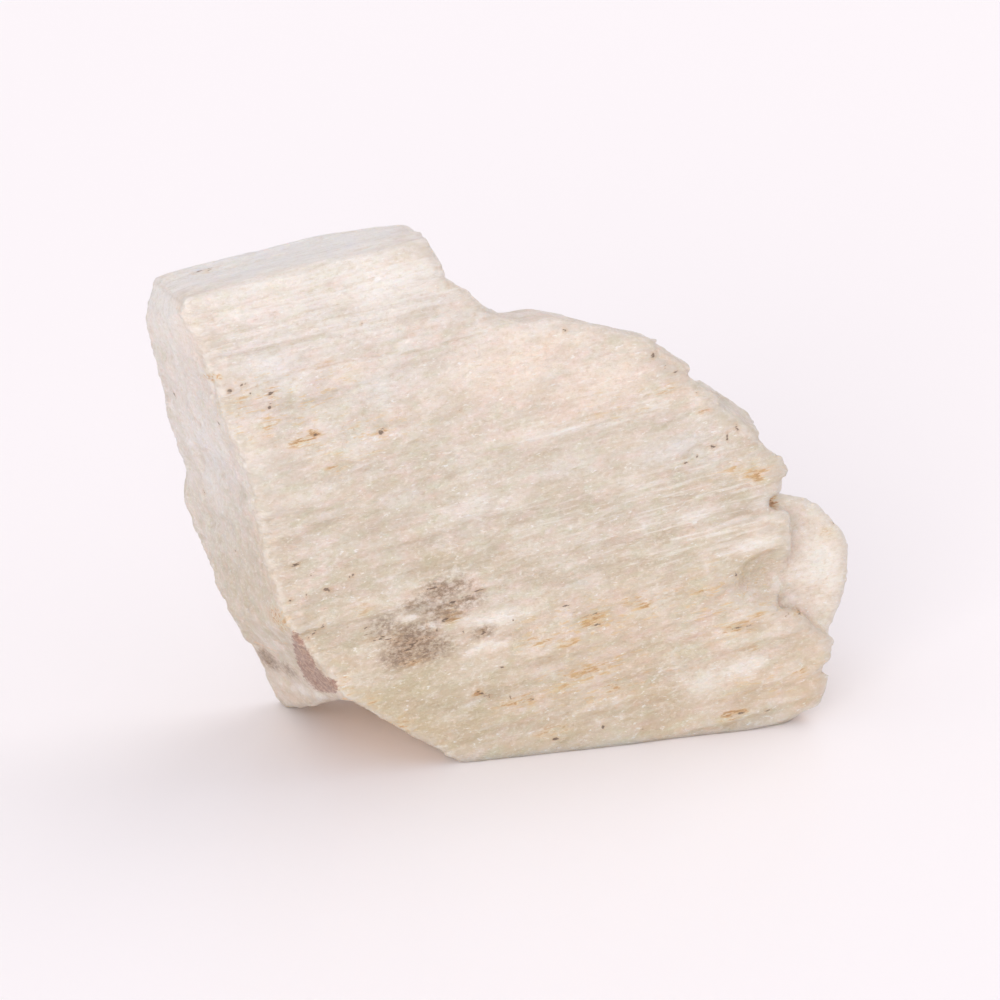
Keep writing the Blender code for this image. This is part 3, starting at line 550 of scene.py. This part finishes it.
def stone_material(colours):
    """Milky, faintly see-through crystal with its fine grain, stains and specks."""
    material = bpy.data.materials.new("hiddenite_stone")
    material.use_nodes = True
    tree = material.node_tree
    shader = tree.nodes["Principled BSDF"]
    grain = grain_place(tree, put(tree, "ShaderNodeTexCoord").outputs["Object"])
    colour = attribute(tree, "body", "Color")

    # Fine mottling, white flecks painted as glints, then painted highlights and dark threads where the stone is silky
    mottle = streaks(tree, grain, 0.30, 0.20, 37.0, 3.0, 0.75)
    colour = mix(tree, ramp(tree, mottle, 0.50, 0.70, 0.0, 0.40), colour, (1.0, 0.97, 0.93, 1.0))
    colour = mix(tree, ramp(tree, mottle, 0.50, 0.30, 0.0, 0.40), colour, (0.62, 0.51, 0.37, 1.0))
    # White flecks: painted glints
    fleck = streaks(tree, grain, 0.36, 0.13, 83.0, 2.0, 0.6)
    colour = mix(tree, ramp(tree, fleck, 0.64, 0.71, 0.0, 0.7), colour, (1.0, 0.99, 0.97, 1.0))
    silk = ramp(tree, attribute(tree, "silk"), 0.05, 0.9, 0.0, 1.0)
    lines = streaks(tree, grain, 3.5, 0.16, 41.0, 2.0, 0.6)
    # Pale threads: painted highlights on the striation ridges
    colour = mix(tree, calc(tree, 'MULTIPLY', ramp(tree, lines, 0.52, 0.66, 0.0, 0.42), silk), colour,
                 (1.0, 0.98, 0.95, 1.0))
    colour = mix(tree, calc(tree, 'MULTIPLY', ramp(tree, lines, 0.47, 0.32, 0.0, 0.35), silk), colour,
                 (0.66, 0.56, 0.44, 1.0))

    # The long rounded edges get a darker painted shade, crests a whiter tint and creases a darker one
    edge = attribute(tree, "edge")
    # Darker rim on the long edges: painted shade that tones down their glow
    colour = mix(tree, ramp(tree, edge, 0.03, 0.12, 0.0, 0.45), colour, (0.56, 0.49, 0.41, 1.0))
    crest = attribute(tree, "crest")
    # Whiter crests: partly bruised frost, partly painted glints
    colour = mix(tree, ramp(tree, crest, 0.01, 0.04, 0.0, 0.15), colour, (1.0, 0.98, 0.95, 1.0))
    # Darker creases: painted shade
    colour = mix(tree, ramp(tree, crest, -0.01, -0.04, 0.0, 0.12), colour, (0.66, 0.53, 0.40, 1.0))

    # Iron stains: an amber halo with broken brown threads in it
    threads = streaks(tree, grain, 0.8, 0.14, 61.0, 3.0, 0.7)
    rust = calc(tree, 'MULTIPLY', attribute(tree, "rust"), ramp(tree, threads, 0.40, 0.62, 0.2, 1.25))
    colour = mix(tree, ramp(tree, rust, 0.1, 1.0, 0.0, 0.8), colour, (0.80, 0.60, 0.32, 1.0))
    core = calc(tree, 'MULTIPLY', rust, ramp(tree, threads, 0.45, 0.62))
    colour = mix(tree, ramp(tree, core, 0.30, 0.95, 0.0, 0.8), colour, tuple(colours.rust))

    freckle = calc(tree, 'MULTIPLY', attribute(tree, "freckle"), ramp(tree, threads, 0.55, 0.64))
    colour = mix(tree, ramp(tree, freckle, 0.1, 0.9, 0.0, 0.65), colour, (0.78, 0.58, 0.30, 1.0))

    # Bright cleavage lines and crushed white patches
    chalk = calc(tree, 'MULTIPLY', attribute(tree, "chalk"), ramp(tree, threads, 0.40, 0.52))
    colour = mix(tree, ramp(tree, chalk, 0.2, 0.9, 0.0, 0.35), colour, (1.0, 0.98, 0.94, 1.0))

    # Dark cloud of fine black grains
    smoke = attribute(tree, "smoke")
    gritty = calc(tree, 'MULTIPLY', smoke, ramp(tree, mottle, 0.62, 0.40, 0.6, 1.25))
    colour = mix(tree, ramp(tree, gritty, 0.05, 0.8, 0.0, 0.9), colour, (0.43, 0.32, 0.23, 1.0))
    core = calc(tree, 'MULTIPLY', smoke, ramp(tree, mottle, 0.56, 0.42))
    colour = mix(tree, ramp(tree, core, 0.25, 0.9, 0.0, 0.75), colour, tuple(colours.smoke))

    # Reddish-brown inclusion with a ragged edge
    edge = calc(tree, 'ADD', attribute(tree, "inclusion"), ramp(tree, mottle, 0.3, 0.7, -0.07, 0.07))
    bronze = mix(tree, ramp(tree, mottle, 0.42, 0.62), tuple(colours.bronze), (0.60, 0.42, 0.32, 1.0))
    colour = mix(tree, ramp(tree, edge, 0.02, -0.08, 0.0, 0.85), colour, bronze)

    # Black specks in small amber halos
    speck = put(tree, "ShaderNodeVectorMath", {0: attribute(tree, "speck", "Vector")}, operation='LENGTH').outputs["Value"]
    speck = calc(tree, 'ADD', speck, ramp(tree, fleck, 0.35, 0.65, -0.5, 1.0))
    colour = mix(tree, ramp(tree, speck, 2.8, 1.0, 0.0, 0.35), colour, (0.66, 0.46, 0.28, 1.0))
    colour = mix(tree, ramp(tree, speck, 1.0, 0.5, 0.0, 0.8), colour, (0.13, 0.08, 0.05, 1.0))
    tree.links.new(colour, shader.inputs["Base Color"])

    grit = streaks(tree, grain, 0.5, 0.28, 91.0, 2.0, 0.75)
    bump = put(tree, "ShaderNodeBump", {"Height": grit, "Strength": 1.0, "Distance": 0.14 * MM})
    tree.links.new(bump.outputs[0], shader.inputs["Normal"])

    shader.inputs["Roughness"].default_value = 0.4
    shader.inputs["IOR"].default_value = 1.66
    shader.inputs["Subsurface Weight"].default_value = 1.0
    shader.inputs["Subsurface Radius"].default_value = (1.0, 0.85, 0.7)
    shader.inputs["Subsurface Scale"].default_value = 1.6 * MM
    shader.inputs["Transmission Weight"].default_value = 0.25
    body = put(tree, "ShaderNodeVolumeAbsorption")
    body.inputs["Color"].default_value = (1.0, 0.90, 0.74, 1.0)
    body.inputs["Density"].default_value = 120.0
    tree.links.new(body.outputs[0], tree.nodes["Material Output"].inputs["Volume"])
    return material


class HIDDENITE_OT_crystal(bpy.types.Operator):
    """Makes the crystal's skin from the solid, cuts its grain and lays its stains"""
    bl_idname = "hiddenite.crystal"
    bl_label = "Make Crystal"

    def execute(self, context):
        grain = context.scene.hiddenite_grain
        colours = context.scene.hiddenite_colours
        stone = skin("rough_crystal", grain)
        lay_stains(stone.data)
        material = stone_material(colours)
        values = {
            "Striation Pitch": grain.striation_pitch, "Striation Depth": grain.striation_depth,
            "Ledge Length": grain.ledge_length, "Ledge Depth": grain.ledge_depth,
            "Break Depth": grain.break_depth, "Chip Depth": grain.chip_depth,
            "Ragged Depth": grain.ragged_depth, "Seed": grain.seed,
            "Rounding": grain.rounding, "Material": material,
        }
        set_inputs(stone.modifiers.new("relief", 'NODES'), relief_tree(), values)
        values = {
            "Top": tuple(colours.top), "Body": tuple(colours.body), "Deep": tuple(colours.deep),
            "Pale": tuple(colours.pale), "Clear": tuple(colours.clear), "Underglow": tuple(colours.underglow),
            "Material": material,
        }
        set_inputs(stone.modifiers.new("veils", 'NODES'), veil_tree(), values)
        baked(stone)
        mesh = stone.data
        mesh.materials.clear()
        mesh.materials.append(material)
        mesh.shade_smooth()
        triangles = sum(len(face.vertices) - 2 for face in mesh.polygons)
        print("crystal triangles", triangles)
        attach(stone, "root")
        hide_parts(NODE)
        return {'FINISHED'}


def soft_light(name, aim, direction, distance, size, power, colour):
    """Square soft light at a distance from the aim, turned towards it."""
    data = bpy.data.lights.new(name, 'AREA')
    data.size = size
    data.energy = power
    data.color = colour
    lamp = bpy.data.objects.new(name, data)
    bpy.context.scene.collection.objects.link(lamp)
    away = Vector(direction).normalized()
    lamp.location = aim + away * distance
    lamp.rotation_euler = away.to_track_quat('Z', 'Y').to_euler()
    return lamp


def floor_material(colour):
    """Satin white studio surface."""
    material = bpy.data.materials.new("studio_white")
    material.use_nodes = True
    shader = material.node_tree.nodes["Principled BSDF"]
    shader.inputs["Base Color"].default_value = colour
    shader.inputs["Roughness"].default_value = 0.32
    shader.inputs["IOR"].default_value = 1.25
    return material


class HIDDENITE_OT_stage(bpy.types.Operator):
    """Makes the floor, the lights and the camera"""
    bl_idname = "hiddenite.stage"
    bl_label = "Make Stage"

    def execute(self, context):
        stage = context.scene.hiddenite_stage
        scene = context.scene
        aim = Vector(stage.aim)
        mesh = bpy.data.meshes.new("floor")
        bm = bmesh.new()
        bmesh.ops.create_grid(bm, x_segments=1, y_segments=1, size=6.0)
        bm.to_mesh(mesh)
        bm.free()
        mesh.materials.append(floor_material(tuple(stage.floor)))
        floor = bpy.data.objects.new("floor", mesh)
        scene.collection.objects.link(floor)

        world = bpy.data.worlds.new("studio")
        scene.world = world
        world.use_nodes = True
        sky = world.node_tree.nodes["Background"]
        sky.inputs["Color"].default_value = tuple(stage.sky)
        sky.inputs["Strength"].default_value = stage.sky_strength
        soft_light("key", aim, (0.45, 0.65, 1.0), 0.8, 0.6, stage.key_power, (1.0, 0.97, 0.95))
        soft_light("fill", aim, (-0.25, -1.0, 0.3), 3.0, 1.8, stage.fill_power, (1.0, 0.98, 0.97))

        camera_data = bpy.data.cameras.new("camera")
        camera_data.sensor_width = 36.0
        camera_data.lens = camera_data.sensor_width * stage.distance / stage.frame_width
        camera_data.clip_start = 0.01
        camera_data.clip_end = 20.0
        camera = bpy.data.objects.new("camera", camera_data)
        scene.collection.objects.link(camera)
        tilt = stage.elevation
        back = Vector((0.0, -math.cos(tilt), math.sin(tilt)))
        camera.location = aim + back * stage.distance
        camera.rotation_euler = back.to_track_quat('Z', 'Y').to_euler()
        scene.camera = camera
        scene.view_settings.view_transform = 'Standard'
        return {'FINISHED'}


class StageSettings(bpy.types.PropertyGroup):
    """Camera, light and floor."""
    aim: bpy.props.FloatVectorProperty(
        name="Aim", description="Point that the camera looks at", subtype='TRANSLATION',
        default=(-0.03 * MM, -1.105 * MM, 11.49 * MM))
    elevation: bpy.props.FloatProperty(
        name="Elevation", description="Camera's height above the horizon", subtype='ANGLE',
        default=math.radians(20.0))
    distance: bpy.props.FloatProperty(
        name="Distance", description="Camera's distance from the aim", subtype='DISTANCE', default=0.4)
    frame_width: bpy.props.FloatProperty(
        name="Frame width", description="Width that the camera sees at the aim", subtype='DISTANCE', default=0.05)
    sky: bpy.props.FloatVectorProperty(
        name="Sky", description="Colour of the even light", subtype='COLOR', size=4, default=(1.0, 0.95, 0.985, 1.0))
    sky_strength: bpy.props.FloatProperty(name="Sky strength", description="Strength of the even light", default=0.765)
    key_power: bpy.props.FloatProperty(
        name="Key power", description="Power of the soft light above and behind the stone", subtype='POWER', default=1.65)
    fill_power: bpy.props.FloatProperty(
        name="Fill power", description="Power of the large soft light in front of the stone", subtype='POWER', default=52.0)
    floor: bpy.props.FloatVectorProperty(
        name="Floor", description="Colour of the floor", subtype='COLOR', size=4, default=(0.93, 0.91, 0.925, 1.0))


class HIDDENITE_PT_panel(bpy.types.Panel):
    """Lists the operators and their settings"""
    bl_label = "Rough Hiddenite"
    bl_idname = "HIDDENITE_PT_panel"
    bl_space_type = 'VIEW_3D'
    bl_region_type = 'UI'
    bl_category = "Hiddenite"

    def draw(self, context):
        layout = self.layout
        for group in (context.scene.hiddenite_grain, context.scene.hiddenite_colours, context.scene.hiddenite_stage):
            box = layout.box()
            for name in group.__annotations__:
                box.prop(group, name)
        layout.operator(HIDDENITE_OT_crystal.bl_idname)
        layout.operator(HIDDENITE_OT_stage.bl_idname)


CLASSES = (GrainSettings, StoneColours, StageSettings, HIDDENITE_OT_crystal, HIDDENITE_OT_stage, HIDDENITE_PT_panel)


def register():
    for cls in CLASSES:
        bpy.utils.register_class(cls)
    bpy.types.Scene.hiddenite_grain = bpy.props.PointerProperty(type=GrainSettings)
    bpy.types.Scene.hiddenite_colours = bpy.props.PointerProperty(type=StoneColours)
    bpy.types.Scene.hiddenite_stage = bpy.props.PointerProperty(type=StageSettings)


def unregister():
    del bpy.types.Scene.hiddenite_stage
    del bpy.types.Scene.hiddenite_colours
    del bpy.types.Scene.hiddenite_grain
    for cls in reversed(CLASSES):
        bpy.utils.unregister_class(cls)


def main():
    register()
    bpy.ops.hiddenite.crystal()
    bpy.ops.hiddenite.stage()


if __name__ == "__main__":
    main()
